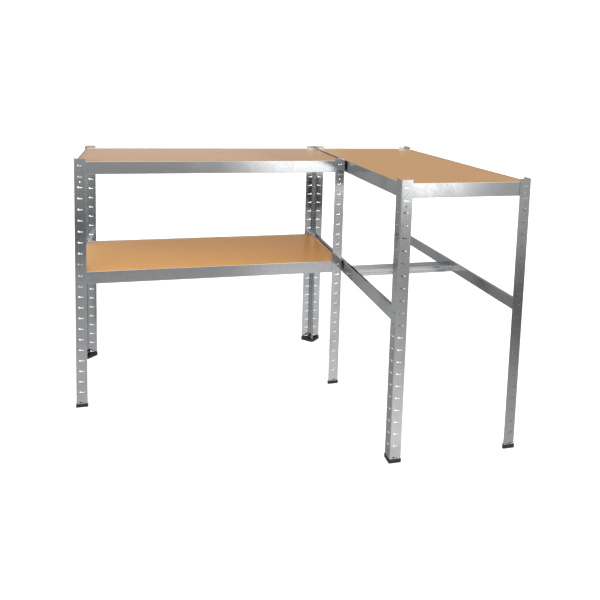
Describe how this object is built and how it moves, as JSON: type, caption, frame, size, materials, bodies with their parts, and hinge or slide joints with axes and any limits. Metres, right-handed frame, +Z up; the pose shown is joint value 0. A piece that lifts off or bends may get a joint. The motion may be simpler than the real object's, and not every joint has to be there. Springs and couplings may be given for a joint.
{
  "type": "potting bench",
  "caption": "L-shaped corner bench of slotted galvanised steel posts and pressed beams, with loose hardboard worktops, a lower shelf on one side and open knee space on the other.",
  "frame": {"origin": "on the floor, under the centre of the bench's bounding box", "axes": "+X to the right along the main bay, +Y to the back along the wing, +Z up"},
  "size_m": [1.4567, 1.0032, 0.92],
  "materials": {
    "galvanised_steel": "bright galvanised sheet, semi-gloss",
    "galvanised_beam": "bright galvanised sheet with faint rolling lines, semi-gloss",
    "hardboard": "smooth tan hardboard, satin",
    "black_plastic": "matt black moulded plastic"
  },
  "bodies": {
    "frame": {"main_post_front_left": "galvanised_steel", "main_post_front_right": "galvanised_steel", "main_post_back_right": "galvanised_steel", "main_post_back_left": "galvanised_steel", "wing_post_back_left": "galvanised_steel", "wing_post_front_left": "galvanised_steel", "wing_post_front_right": "galvanised_steel", "wing_post_back_right": "galvanised_steel", "main_foot_front_left": "black_plastic", "main_foot_front_right": "black_plastic", "main_foot_back_right": "black_plastic", "main_foot_back_left": "black_plastic", "wing_foot_back_left": "black_plastic", "wing_foot_front_left": "black_plastic", "wing_foot_front_right": "black_plastic", "wing_foot_back_right": "black_plastic", "main_top_beam_front": "galvanised_beam", "main_top_beam_back": "galvanised_beam", "main_top_beam_left": "galvanised_beam", "main_top_beam_right": "galvanised_beam", "main_shelf_beam_front": "galvanised_beam", "main_shelf_beam_back": "galvanised_beam", "main_shelf_beam_left": "galvanised_beam", "main_shelf_beam_right": "galvanised_beam", "wing_top_beam_left": "galvanised_beam", "wing_top_beam_right": "galvanised_beam", "wing_top_beam_back": "galvanised_beam", "wing_top_beam_front": "galvanised_beam", "wing_lower_rail_left": "galvanised_beam", "wing_lower_rail_right": "galvanised_beam", "wing_top_tie": "galvanised_beam", "wing_lower_tie": "galvanised_beam"},
    "main_worktop_board": {"main_worktop_board": "hardboard"},
    "main_shelf_board": {"main_shelf_board": "hardboard"},
    "wing_worktop_board": {"wing_worktop_board": "hardboard"}
  },
  "joints": [
    {"name": "main_worktop_lift", "type": "slide", "parent": "frame", "child": "main_worktop_board", "axis": [0, 0, 1], "range_m": [0, 0.15]},
    {"name": "main_shelf_lift", "type": "slide", "parent": "frame", "child": "main_shelf_board", "axis": [0, 0, 1], "range_m": [0, 0.2]},
    {"name": "wing_worktop_lift", "type": "slide", "parent": "frame", "child": "wing_worktop_board", "axis": [0, 0, 1], "range_m": [0, 0.15]}
  ]
}
